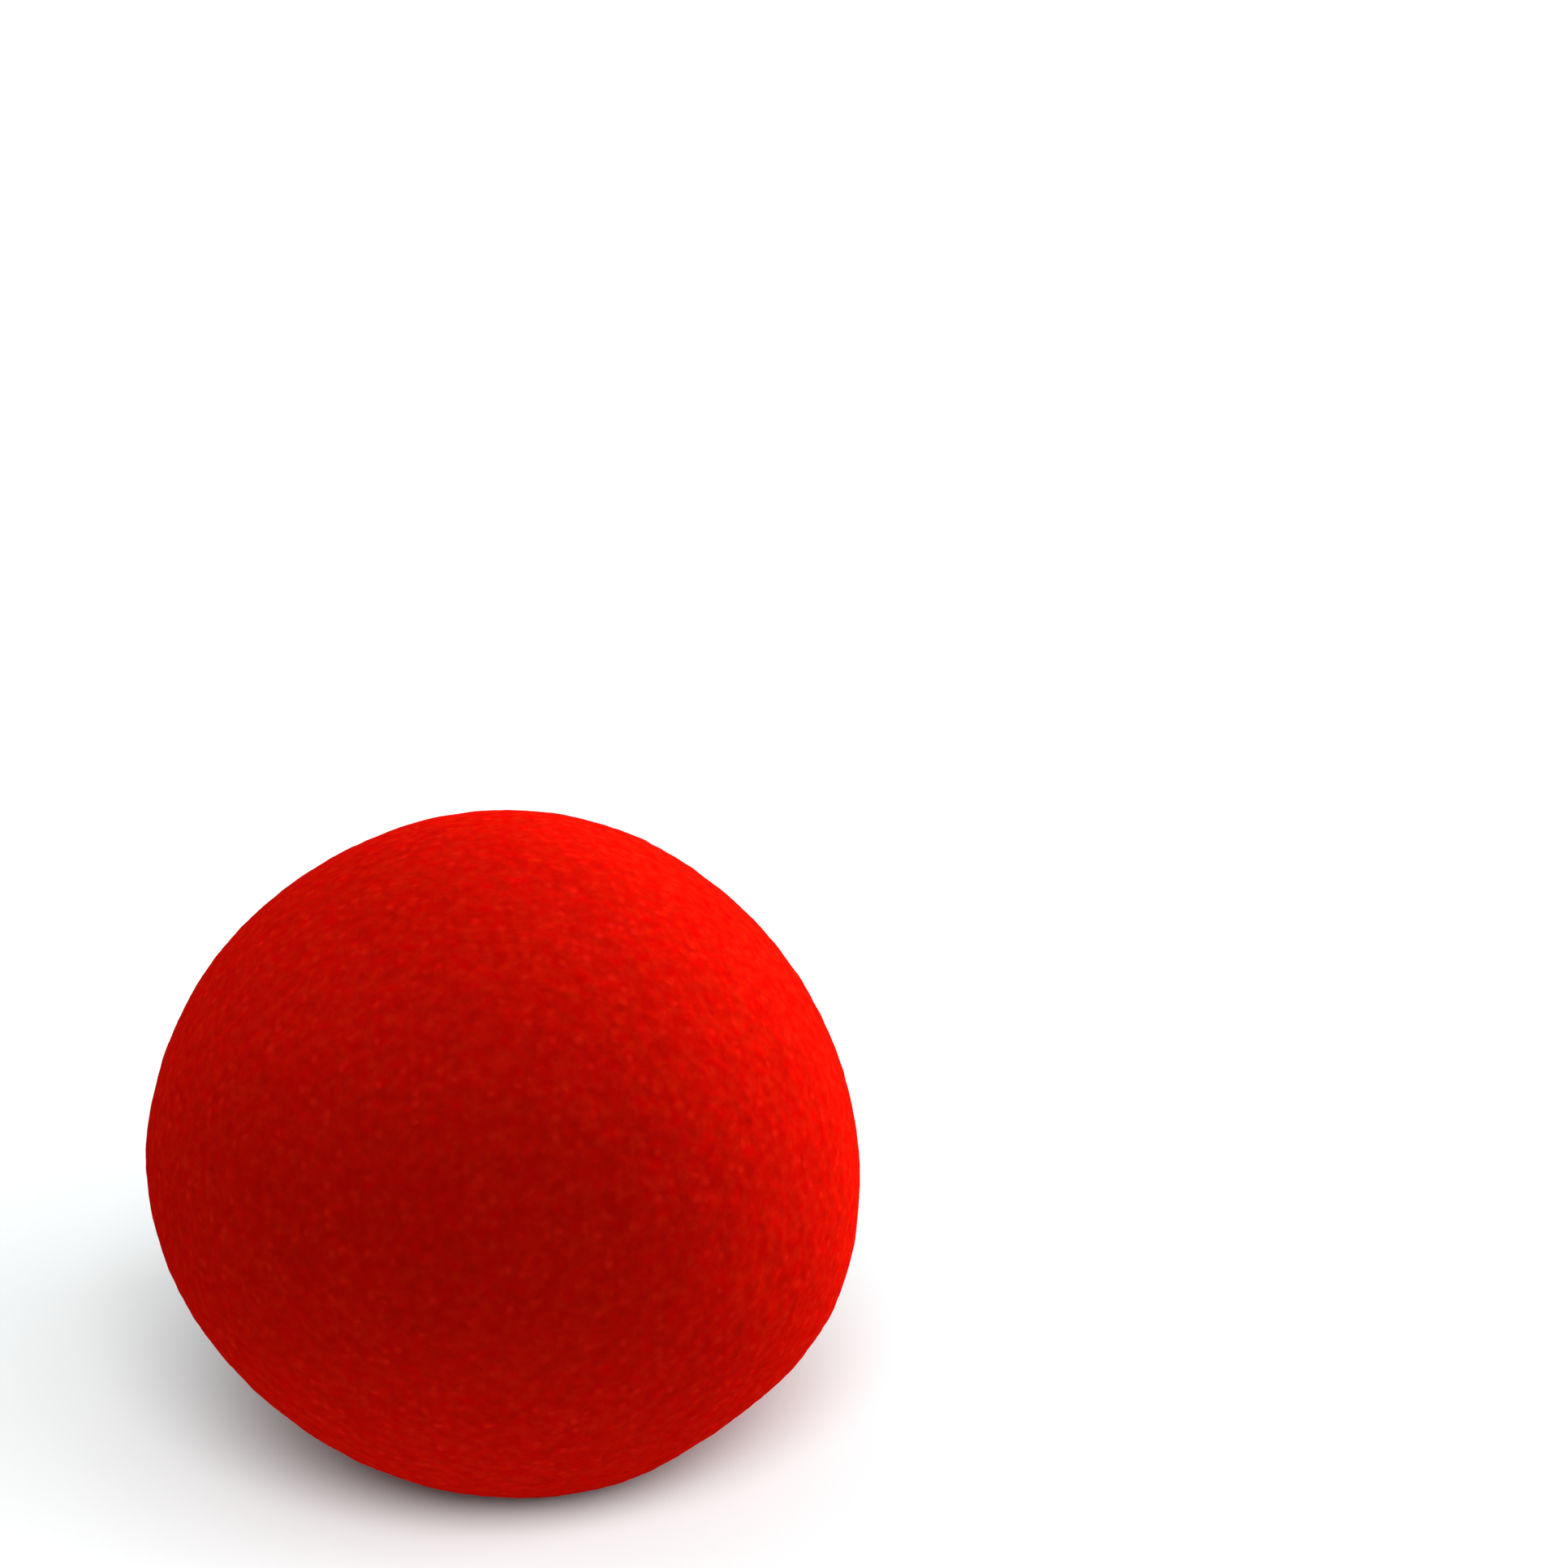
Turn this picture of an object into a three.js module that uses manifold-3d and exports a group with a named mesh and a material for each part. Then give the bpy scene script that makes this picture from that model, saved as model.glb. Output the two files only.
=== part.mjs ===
// A foam clown nose: one soft ball, a little squashed and uneven, with a slit pocket in
// its back that grips the wearer's own nose. Millimetres, +Z up. The front of the nose
// faces -Y and the pocket opens to +Y. The origin is on the flattened patch that the
// ball rests on, straight below the ball's middle.
import * as THREE from "three";
import { mergeVertices } from "three/addons/utils/BufferGeometryUtils.js";
import Module from "manifold-3d";

const wasm = await Module();
wasm.setup();

// Ball
const ballWidth = 49.7;
const ballDepth = 48.9;
const ballHeight = 45.9;
const ballLean = 13; // degrees that the short, upright diameter leans towards +X
const patchRadius = 7; // of the flat patch that the ball rests on
const ballDetail = 12; // each edge of the icosahedron is cut into one more than this

// Low swells that make the ball uneven, as a cut and squeezed foam ball is. The middle of
// a swell is given by its azimuth from +X towards +Y and its elevation, in degrees. Its
// rise is a share of the ball's radius there, and it fades over the spread, in degrees.
const swells = [
  { name: "front right", azimuth: -11, elevation: -26, rise: 0.037, spread: 21 },
  { name: "crown", azimuth: 67, elevation: 66, rise: 0.05, spread: 37 },
  { name: "left", azimuth: -177, elevation: -7, rise: 0.012, spread: 22 },
  { name: "front base", azimuth: -67, elevation: -66, rise: 0.032, spread: 28 },
];

// Pocket
const mouthLength = 28; // of the slit, up the back of the ball
const mouthWidth = 12; // of the slit, across its middle
const pocketDepth = 24; // from the back of the ball to the pocket's end
const lipRound = 1.6; // radius of the mouth's rounded edge
const lipStart = 30; // degrees between that edge and the ball's surface where they meet
const mouthPoint = 1.7; // 1 makes the mouth an ellipse, more draws its two ends to points
const endPoint = 1.1; // the same, at the pocket's end
const pocketFullness = 2.4; // 1 makes the pocket a cone, more a blunt bullet
const outlinePoints = 40; // round each section of the pocket
const lipSections = 4;
const pocketSections = 9;
const toolClear = 0.5; // how far the edge's slope is carried on out of the ball
const toolOverrun = 2; // how far the cutting shape stands out of the ball

const foam = new THREE.MeshStandardMaterial({
  name: "foam",
  color: new THREE.Color(0.8, 0.01, 0.004),
  roughness: 0.95,
  metalness: 0,
});

const radians = THREE.MathUtils.degToRad;

function directionOf(azimuth, elevation) {
  const fromTop = radians(90 - elevation);
  return new THREE.Vector3(
    Math.sin(fromTop) * Math.cos(radians(azimuth)),
    Math.sin(fromTop) * Math.sin(radians(azimuth)),
    Math.cos(fromTop),
  );
}

const swellMiddles = swells.map((s) => directionOf(s.azimuth, s.elevation));

// The ball's radius along a unit vector from its middle.
function radiusAlong(direction) {
  const upright = direction.clone().applyAxisAngle(
    new THREE.Vector3(0, 1, 0),
    radians(-ballLean),
  );
  const ellipsoid = 1 / Math.hypot(
    upright.x / (ballWidth / 2),
    upright.y / (ballDepth / 2),
    upright.z / (ballHeight / 2),
  );
  const rise = swells.reduce((sum, swell, i) => {
    const away = THREE.MathUtils.radToDeg(direction.angleTo(swellMiddles[i]));
    return sum + swell.rise * Math.exp(-((away / swell.spread) ** 2));
  }, 0);
  return ellipsoid * (1 + rise);
}

// How far the back of the ball lies behind its middle, at x and z from the middle.
function backAt(x, z) {
  const steps = 6; // of a fixed-point search, which settles to under a micrometre
  let y = ballDepth / 2;
  for (let i = 0; i < steps; i++) {
    const radius = radiusAlong(new THREE.Vector3(x, y, z).normalize());
    y = Math.sqrt(Math.max(radius ** 2 - x ** 2 - z ** 2, 0));
  }
  return y;
}

// A closed geometry as a solid that can be joined and cut.
function solidOf(geometry) {
  geometry.deleteAttribute("normal");
  geometry.deleteAttribute("uv");
  const merged = mergeVertices(geometry, 1e-4);
  return new wasm.Manifold(
    new wasm.Mesh({
      numProp: 3,
      vertProperties: merged.attributes.position.array,
      triVerts: new Uint32Array(merged.index.array),
    }),
  );
}

function geometryOf(solid) {
  const { vertProperties, triVerts } = solid.getMesh();
  const geometry = new THREE.BufferGeometry();
  geometry.setAttribute("position", new THREE.BufferAttribute(vertProperties, 3));
  geometry.setIndex(new THREE.BufferAttribute(triVerts, 1));
  const flat = geometry.toNonIndexed();
  flat.computeVertexNormals();
  return flat;
}

// The ball about its own middle, before the pocket and the resting patch are cut.
function ballGeometry() {
  const geometry = new THREE.IcosahedronGeometry(1, ballDetail);
  const position = geometry.attributes.position;
  const point = new THREE.Vector3();
  for (let i = 0; i < position.count; i++) {
    point.fromBufferAttribute(position, i).normalize();
    point.multiplyScalar(radiusAlong(point));
    position.setXYZ(i, point.x, point.y, point.z);
  }
  return geometry;
}

// A closed skin over sections of equal point count, with a flat cap at each end.
function loftGeometry(sections) {
  const count = sections[0].length;
  const last = sections.length - 1;
  const points = sections.flat();
  const middleOf = (ring) =>
    ring.reduce((sum, p) => sum.add(p), new THREE.Vector3()).divideScalar(count);
  points.push(middleOf(sections[0]), middleOf(sections[last]));
  const faces = [];
  for (let j = 0; j < count; j++) {
    const next = (j + 1) % count;
    for (let i = 0; i < last; i++) {
      const [a, b] = [i * count + j, i * count + next];
      faces.push(a, b, b + count, a, b + count, a + count);
    }
    faces.push(points.length - 2, next, j);
    faces.push(points.length - 1, last * count + j, last * count + next);
  }
  const geometry = new THREE.BufferGeometry().setFromPoints(points);
  geometry.setIndex(faces);
  return geometry;
}

// One section of the pocket at a depth below the back of the ball, opened out by the flare
// of its edge there. It is a lens whose points soften with depth. At the mouth it follows
// the ball's curve, and by the pocket's end it is flat.
function pocketSection(depth, flare) {
  const share = Math.max(depth / pocketDepth, 0);
  const size = (1 - share ** pocketFullness) ** (1 / pocketFullness);
  const point = THREE.MathUtils.lerp(mouthPoint, endPoint, share);
  const section = [];
  for (let j = 0; j < outlinePoints; j++) {
    const turn = (2 * Math.PI * j) / outlinePoints;
    const across = Math.sign(Math.cos(turn)) * Math.abs(Math.cos(turn)) ** point;
    const x = ((mouthWidth / 2) * size + flare) * across;
    const z = ((mouthLength / 2) * size + flare) * Math.sin(turn);
    const y = THREE.MathUtils.lerp(backAt(x, z), backAt(0, 0), share) - depth;
    section.push(new THREE.Vector3(x, y, z));
  }
  return section;
}

// The sections of the mouth's rounded edge, from just outside the ball, where they run
// straight on, to where the edge meets the pocket's wall.
function edgeSections() {
  const start = radians(lipStart);
  const startDepth = lipRound * (1 - Math.cos(start));
  const startFlare = lipRound * (1 - Math.sin(start));
  const outerFlare = startFlare + (startDepth + toolClear) / Math.tan(start);
  const sections = [pocketSection(-toolClear, outerFlare)];
  for (let i = 0; i <= lipSections; i++) {
    const turn = THREE.MathUtils.lerp(start, Math.PI / 2, i / lipSections);
    const depth = lipRound * (1 - Math.cos(turn));
    sections.push(pocketSection(depth, lipRound * (1 - Math.sin(turn))));
  }
  return sections;
}

// The shape that cuts the pocket: from outside the ball, over the rounded edge, then on to
// the blunt end.
function pocketGeometry() {
  const sections = edgeSections();
  for (let i = 1; i <= pocketSections; i++) {
    const turn = ((Math.PI / 2) * i) / (pocketSections + 1);
    const depth = THREE.MathUtils.lerp(lipRound, pocketDepth, Math.sin(turn));
    sections.push(pocketSection(depth, 0));
  }
  const outside = sections[0].map((p) => p.clone().setY(backAt(0, 0) + toolOverrun));
  return loftGeometry([outside, ...sections]);
}

// A block that reaches up to the height of the resting patch, below the ball's middle.
function floorGeometry(patchDrop) {
  const side = 2 * Math.max(ballWidth, ballDepth, ballHeight);
  return new THREE.BoxGeometry(side, side, side).translate(0, 0, -patchDrop - side / 2);
}

function foamNose() {
  const straightDown = radiusAlong(new THREE.Vector3(0, 0, -1));
  const patchDrop = Math.sqrt(straightDown ** 2 - patchRadius ** 2);
  const solid = solidOf(ballGeometry())
    .subtract(solidOf(pocketGeometry()))
    .subtract(solidOf(floorGeometry(patchDrop)));
  const mesh = new THREE.Mesh(geometryOf(solid), foam);
  mesh.name = "foam_nose";
  mesh.position.z = patchDrop;
  return mesh;
}

const clownNose = new THREE.Group();
clownNose.name = "clown_nose";
clownNose.add(foamNose());

export default clownNose;
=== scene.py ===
"""A red foam clown nose lying on a pale floor, in metres, +Z up. The nose's front faces -Y."""

import math

import bmesh
import bpy
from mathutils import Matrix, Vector, noise


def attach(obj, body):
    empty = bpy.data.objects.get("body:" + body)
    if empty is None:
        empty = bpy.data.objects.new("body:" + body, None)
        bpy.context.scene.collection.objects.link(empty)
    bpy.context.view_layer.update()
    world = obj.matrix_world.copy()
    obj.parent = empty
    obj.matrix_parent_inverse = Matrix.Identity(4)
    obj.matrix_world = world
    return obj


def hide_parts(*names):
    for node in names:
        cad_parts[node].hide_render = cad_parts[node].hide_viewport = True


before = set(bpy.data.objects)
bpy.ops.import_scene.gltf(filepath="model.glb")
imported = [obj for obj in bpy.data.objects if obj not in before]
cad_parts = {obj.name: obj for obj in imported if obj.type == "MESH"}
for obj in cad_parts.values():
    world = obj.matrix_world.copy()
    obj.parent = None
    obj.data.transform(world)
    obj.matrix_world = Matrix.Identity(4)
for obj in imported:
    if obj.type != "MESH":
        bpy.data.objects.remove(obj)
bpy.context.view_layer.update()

MM = 0.001

# The photograph's camera. The ball's middle falls on the named pixel.
PHOTO_SIDE = 1932
FOCAL_PIXELS = 3600
SENSOR_WIDTH = 36
BALL_PIXEL = (624.8, 1418.0)
BALL_MIDDLE = Vector((0, 0, 22.32 * MM))
CAMERA_ELEVATION = math.radians(21.9)
CAMERA_DISTANCE = 209.8 * MM

# The nose's mesh, and how far the smoothing draws its surface in
VOXEL = 0.36 * MM
SMOOTHING_STEPS = 60
SMOOTHING_FACTOR = 0.5
SMOOTHING_LOSS = 0.05 * MM

# Unevenness of the foam's skin, and of its cut face inside the pocket: the size of each kind
# of lump, and how far it rises and sinks
SKIN_LUMPS = [
    {"size": 9 * MM, "height": 0.10 * MM},
    {"size": 3.2 * MM, "height": 0.045 * MM},
    {"size": 1.6 * MM, "height": 0.045 * MM},
    {"size": 0.75 * MM, "height": 0.045 * MM},
]
CUT_LUMPS = [
    {"size": 5 * MM, "height": 0.45 * MM},
    {"size": 1.7 * MM, "height": 0.30 * MM},
    {"size": 0.9 * MM, "height": 0.16 * MM},
]

# The cut face begins where the surface turns away from the ball's middle: the cosine of the
# angle between its normal and the line out of the middle, where it starts and where it is full.
CUT_STARTS = 0.75
CUT_FULL = 0.35

# The slit in the back, as long as the CAD part's, and the tears at its two ends
MOUTH_LENGTH = 28 * MM
TEAR_LENGTH = 3 * MM
TEAR_WIDTH = 1.1 * MM
TEAR_DEPTH = 0.8 * MM

# The foam's reds: its own, a warmer one it varies towards at random, a deeper one that is the
# darker tone of its random mottling and also painted shade in pores and open cells, and a paler
# one that is a painted highlight on struts.
FOAM_RED = (0.60, 0.0000, 0.0004, 1)
WARM_RED = (0.55, 0.0100, 0.0018, 1)
DEEP_RED = (0.405, 0.0024, 0.0007, 1)
HIGHLIGHT_RED = (0.715, 0.012, 0.005, 1)

# The foam's marks: first three soft random fields, then three kinds of round dot, each with
# how far it reaches, as a share of its size, and the share of places that have a dot. The pores
# are darkened with painted shade and the struts lightened with a painted highlight. The cells
# are the open ones that show on cut foam, darkened with painted shade.
CLOUDS = {"size": 6 * MM, "detail": 2, "roughness": 0.5}
HUES = {"size": 0.9 * MM, "detail": 2, "roughness": 0.6}
GRAIN = {"size": 0.8 * MM, "detail": 3, "roughness": 0.65}
SHADED_PORES = {"size": 0.75 * MM, "reach": 0.6, "share": 0.5}
HIGHLIT_STRUTS = {"size": 0.8 * MM, "reach": 0.5, "share": 0.35}
SHADED_CELLS = {"size": 1.2 * MM, "reach": 0.6, "share": 0.8}

# The part of each field's range over which its effect goes from none to full
CLOUD_RANGE = (0.3, 0.7)
HUE_RANGE = (0.3, 0.7)
GRAIN_COLOUR_RANGE = (0.24, 0.76)
GRAIN_ROUGHNESS_RANGE = (0.2, 0.8)

# How strongly the marks show in the foam's colour, in its roughness and in its relief, where
# a pore is 1 deep and the relief is the height of 1. In the colour, the darkening of pores and
# cells is painted shade and the lightening of struts a painted highlight.
CLOUD_SHADE = 0.12
PORE_SHADE = 0.5
STRUT_HIGHLIGHT = 0.5
CELL_SHADE = 0.8
FOAM_ROUGHNESS = (0.88, 1.0)
STRUT_RISE = 0.5
CELL_DROP = 3
RELIEF = 0.014 * MM

# The floor is a little bluish, so that the red light off the ball leaves its shadow grey.
FLOOR_COLOUR = (0.40, 0.415, 0.417, 1)
FLOOR_RADIUS = 4
FLOOR_SIDES = 96

# The backdrop lights nothing. It is just over white, so that no horizon shows.
BACKDROP_COLOUR = (1, 1, 1, 1)
BACKDROP_STRENGTH = 1.1

# Soft lights, as far round and as high as named, in degrees. As in a studio with shaded lamps,
# some fall on the nose alone and some on the floor, where the nose casts its shadow.
NOSE_SUNS = [
    {"name": "right", "azimuth": 34, "elevation": 13, "spread": 46, "strength": 8.2},
    {"name": "high_right", "azimuth": 0, "elevation": 62, "spread": 50, "strength": 1.6},
    {"name": "high_back", "azimuth": 135, "elevation": 65, "spread": 50, "strength": 2.6},
]
FLOOR_SUNS = [
    {"name": "floor_front", "azimuth": 270, "elevation": 45, "spread": 32, "strength": 5.2},
    {"name": "floor_right", "azimuth": 315, "elevation": 30, "spread": 60, "strength": 4.0},
    {"name": "floor_top", "azimuth": 0, "elevation": 89, "spread": 150, "strength": 2.8},
]


def add_camera():
    data = bpy.data.cameras.new("camera")
    data.sensor_width = SENSOR_WIDTH
    data.lens = SENSOR_WIDTH * FOCAL_PIXELS / PHOTO_SIDE
    camera = bpy.data.objects.new("camera", data)
    bpy.context.scene.collection.objects.link(camera)
    back = Vector((0, -math.cos(CAMERA_ELEVATION), math.sin(CAMERA_ELEVATION)))
    camera.location = BALL_MIDDLE + back * CAMERA_DISTANCE
    # Turned so that the ball's middle falls on its pixel, with no roll.
    across = (BALL_PIXEL[0] - PHOTO_SIDE / 2) / FOCAL_PIXELS
    up = (PHOTO_SIDE / 2 - BALL_PIXEL[1]) / FOCAL_PIXELS
    reach = math.sqrt(1 + across**2 + up**2)
    drop = math.asin(reach * math.sin(CAMERA_ELEVATION) / math.sqrt(1 + up**2))
    pitch = math.atan(up) + drop
    yaw = -math.atan2(across, math.cos(pitch) + up * math.sin(pitch))
    forward = Vector((
        math.sin(yaw) * math.cos(pitch),
        math.cos(yaw) * math.cos(pitch),
        -math.sin(pitch),
    ))
    camera.rotation_mode = "QUATERNION"
    camera.rotation_quaternion = forward.to_track_quat("-Z", "Y")
    bpy.context.scene.camera = camera


def smooth_mesh():
    """The CAD solid as an even net of small faces, with its facets smoothed away."""
    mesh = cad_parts["foam_nose"].data.copy()
    nose = bpy.data.objects.new("foam_ball", mesh)
    bpy.context.scene.collection.objects.link(nose)
    mesh.materials.clear()
    remesh = nose.modifiers.new("remesh", "REMESH")
    remesh.mode = "VOXEL"
    remesh.voxel_size = VOXEL
    smooth = nose.modifiers.new("smooth", "SMOOTH")
    smooth.iterations = SMOOTHING_STEPS
    smooth.factor = SMOOTHING_FACTOR
    graph = bpy.context.evaluated_depsgraph_get()
    nose.data = bpy.data.meshes.new_from_object(nose.evaluated_get(graph))
    nose.modifiers.clear()
    nose.data.shade_smooth()
    return nose


def lump_height(point, lumps):
    return sum(lump["height"] * noise.noise(point / lump["size"]) for lump in lumps)


def cut_share(point, normal):
    """0 on the ball's skin, 1 on the pocket's wall, between the two round the mouth's edge."""
    facing = normal.dot((point - BALL_MIDDLE).normalized())
    return min(max((CUT_STARTS - facing) / (CUT_STARTS - CUT_FULL), 0), 1)


def tear_depth(point):
    """How deep the creases run that the slit's two ends tear into the ball's back."""
    beyond = abs(point.z - BALL_MIDDLE.z) - MOUTH_LENGTH / 2
    if point.y < 0 or not -TEAR_LENGTH < beyond < TEAR_LENGTH:
        return 0
    across = abs(point.x) / (TEAR_WIDTH / 2)
    fade = 1 - abs(beyond) / TEAR_LENGTH
    return TEAR_DEPTH * fade * max(1 - across, 0)


def roughen(nose):
    """Moves the surface in and out by its lumps, and notes on each point how far it is cut foam."""
    mesh = nose.data
    normals = [normal.vector.copy() for normal in mesh.vertex_normals]
    cut = mesh.attributes.new("cut", "FLOAT", "POINT")
    for vertex, normal in zip(mesh.vertices, normals):
        share = cut_share(vertex.co, normal)
        cut.data[vertex.index].value = share
        skin = lump_height(vertex.co, SKIN_LUMPS)
        lumps = skin + share * (lump_height(vertex.co, CUT_LUMPS) - skin)
        vertex.co += normal * (SMOOTHING_LOSS + lumps - tear_depth(vertex.co))
        vertex.co.z = max(vertex.co.z, 0)


def plug(tree, socket, value):
    """Links a socket to another node's output, or sets its value."""
    if isinstance(value, bpy.types.NodeSocket):
        tree.links.new(value, socket)
    else:
        socket.default_value = value


def add_node(tree, kind, inputs, **settings):
    node = tree.nodes.new(kind)
    for name, value in settings.items():
        setattr(node, name, value)
    for name, value in inputs.items():
        plug(tree, node.inputs[name], value)
    return node


def noise_field(tree, place, size, detail, roughness):
    """A soft random field about 0.5, whose largest lumps have the given size."""
    inputs = {"Vector": place, "Scale": 1 / size, "Detail": detail, "Roughness": roughness}
    return add_node(tree, "ShaderNodeTexNoise", inputs).outputs["Fac"]


def remap(tree, value, old, new=(0, 1)):
    """Runs evenly from one end of the new range to the other as the value runs over the old."""
    inputs = {
        "Value": value,
        "From Min": old[0],
        "From Max": old[1],
        "To Min": new[0],
        "To Max": new[1],
    }
    return add_node(tree, "ShaderNodeMapRange", inputs).outputs["Result"]


def combine(tree, operation, a, b):
    return add_node(tree, "ShaderNodeMath", {0: a, 1: b}, operation=operation).outputs["Value"]


def dots(tree, place, size, reach, share):
    """Soft round dots, 1 in their middles, in a share of the cells of a random net."""
    net = add_node(tree, "ShaderNodeTexVoronoi", {"Vector": place, "Scale": 1 / size})
    pick = add_node(tree, "ShaderNodeSeparateColor", {"Color": net.outputs["Color"]})
    near = remap(tree, net.outputs["Distance"], (0, reach), (1, 0))
    chosen = remap(tree, pick.outputs["Red"], (1 - share, 1 - share / 2))
    return combine(tree, "MULTIPLY", near, chosen)


def mix_colours(tree, factor, a, b):
    node = add_node(tree, "ShaderNodeMix", {}, data_type="RGBA")
    shown = [socket for socket in node.inputs if socket.enabled]
    for socket, value in zip(shown, (factor, a, b)):
        plug(tree, socket, value)
    return next(socket for socket in node.outputs if socket.enabled)


def tint(tree, colour, mark, strength, to):
    """The colour, drawn towards another as strongly as named where the mark is full."""
    return mix_colours(tree, combine(tree, "MULTIPLY", mark, strength), colour, to)


def foam_material():
    material = bpy.data.materials.new("red_foam")
    material.use_nodes = True
    tree = material.node_tree
    shader = tree.nodes["Principled BSDF"]
    place = tree.nodes.new("ShaderNodeTexCoord").outputs["Object"]

    clouds = noise_field(tree, place, **CLOUDS)
    hues = noise_field(tree, place, **HUES)
    grain = noise_field(tree, place, **GRAIN)
    shaded_pores = dots(tree, place, **SHADED_PORES)
    highlit_struts = dots(tree, place, **HIGHLIT_STRUTS)
    cut = add_node(tree, "ShaderNodeAttribute", {}, attribute_name="cut").outputs["Fac"]
    shaded_cells = combine(tree, "MULTIPLY", dots(tree, place, **SHADED_CELLS), cut)

    colour = mix_colours(tree, remap(tree, hues, HUE_RANGE), FOAM_RED, WARM_RED)
    cloud_shade = remap(tree, clouds, CLOUD_RANGE, (0, CLOUD_SHADE))
    shade = combine(tree, "ADD", cloud_shade, remap(tree, grain, GRAIN_COLOUR_RANGE))
    colour = mix_colours(tree, shade, colour, DEEP_RED)
    # Painted shade: the pores are drawn towards the deeper red, standing in for the shade inside
    # the holes.
    colour = tint(tree, colour, shaded_pores, PORE_SHADE, DEEP_RED)
    # Painted highlight: a share of the struts is drawn towards the paler red, standing in for light
    # glinting off them.
    colour = tint(tree, colour, highlit_struts, STRUT_HIGHLIGHT, HIGHLIGHT_RED)
    # Painted shade: the open cells of the cut face inside the pocket are drawn towards the deeper
    # red, standing in for the shade in the deeper holes.
    colour = tint(tree, colour, shaded_cells, CELL_SHADE, DEEP_RED)
    plug(tree, shader.inputs["Base Color"], colour)
    roughness = remap(tree, grain, GRAIN_ROUGHNESS_RANGE, FOAM_ROUGHNESS)
    plug(tree, shader.inputs["Roughness"], roughness)

    height = combine(tree, "SUBTRACT", combine(tree, "MULTIPLY", highlit_struts, STRUT_RISE), shaded_pores)
    height = combine(tree, "SUBTRACT", height, combine(tree, "MULTIPLY", shaded_cells, CELL_DROP))
    height = combine(tree, "SUBTRACT", height, grain)
    bump = add_node(tree, "ShaderNodeBump", {"Height": height, "Distance": RELIEF})
    plug(tree, shader.inputs["Normal"], bump.outputs["Normal"])

    shader.inputs["Specular IOR Level"].default_value = 0
    return material


def add_floor():
    mesh = bpy.data.meshes.new("floor")
    build = bmesh.new()
    bmesh.ops.create_circle(build, cap_ends=True, segments=FLOOR_SIDES, radius=FLOOR_RADIUS)
    build.to_mesh(mesh)
    build.free()
    floor = bpy.data.objects.new("floor", mesh)
    bpy.context.scene.collection.objects.link(floor)
    material = bpy.data.materials.new("floor_paper")
    material.use_nodes = True
    shader = material.node_tree.nodes["Principled BSDF"]
    shader.inputs["Base Color"].default_value = FLOOR_COLOUR
    shader.inputs["Roughness"].default_value = 1
    shader.inputs["Specular IOR Level"].default_value = 0
    mesh.materials.append(material)
    return floor


def add_sun(lit, name, azimuth, elevation, spread, strength):
    """A sun with soft shadows that falls on one object alone, while all others can shade it."""
    data = bpy.data.lights.new(name, "SUN")
    data.angle = math.radians(spread)
    data.energy = strength
    light = bpy.data.objects.new(name, data)
    bpy.context.scene.collection.objects.link(light)
    a, e = math.radians(azimuth), math.radians(elevation)
    towards = Vector((math.cos(e) * math.cos(a), math.cos(e) * math.sin(a), math.sin(e)))
    light.rotation_mode = "QUATERNION"
    light.rotation_quaternion = (-towards).to_track_quat("-Z", "Y")
    receivers = bpy.data.collections.new(name + "_falls_on")
    receivers.objects.link(lit)
    light.light_linking.receiver_collection = receivers


def add_backdrop():
    world = bpy.data.worlds.new("studio")
    bpy.context.scene.world = world
    world.use_nodes = True
    backdrop = world.node_tree.nodes["Background"].inputs
    backdrop["Color"].default_value = BACKDROP_COLOUR
    backdrop["Strength"].default_value = BACKDROP_STRENGTH
    world.cycles_visibility.diffuse = False
    world.cycles_visibility.glossy = False


add_camera()
nose = smooth_mesh()
roughen(nose)
nose.data.materials.append(foam_material())
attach(nose, "root")
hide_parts("foam_nose")
floor = add_floor()
for sun in NOSE_SUNS:
    add_sun(nose, **sun)
for sun in FLOOR_SUNS:
    add_sun(floor, **sun)
add_backdrop()
bpy.context.scene.view_settings.view_transform = "Standard"
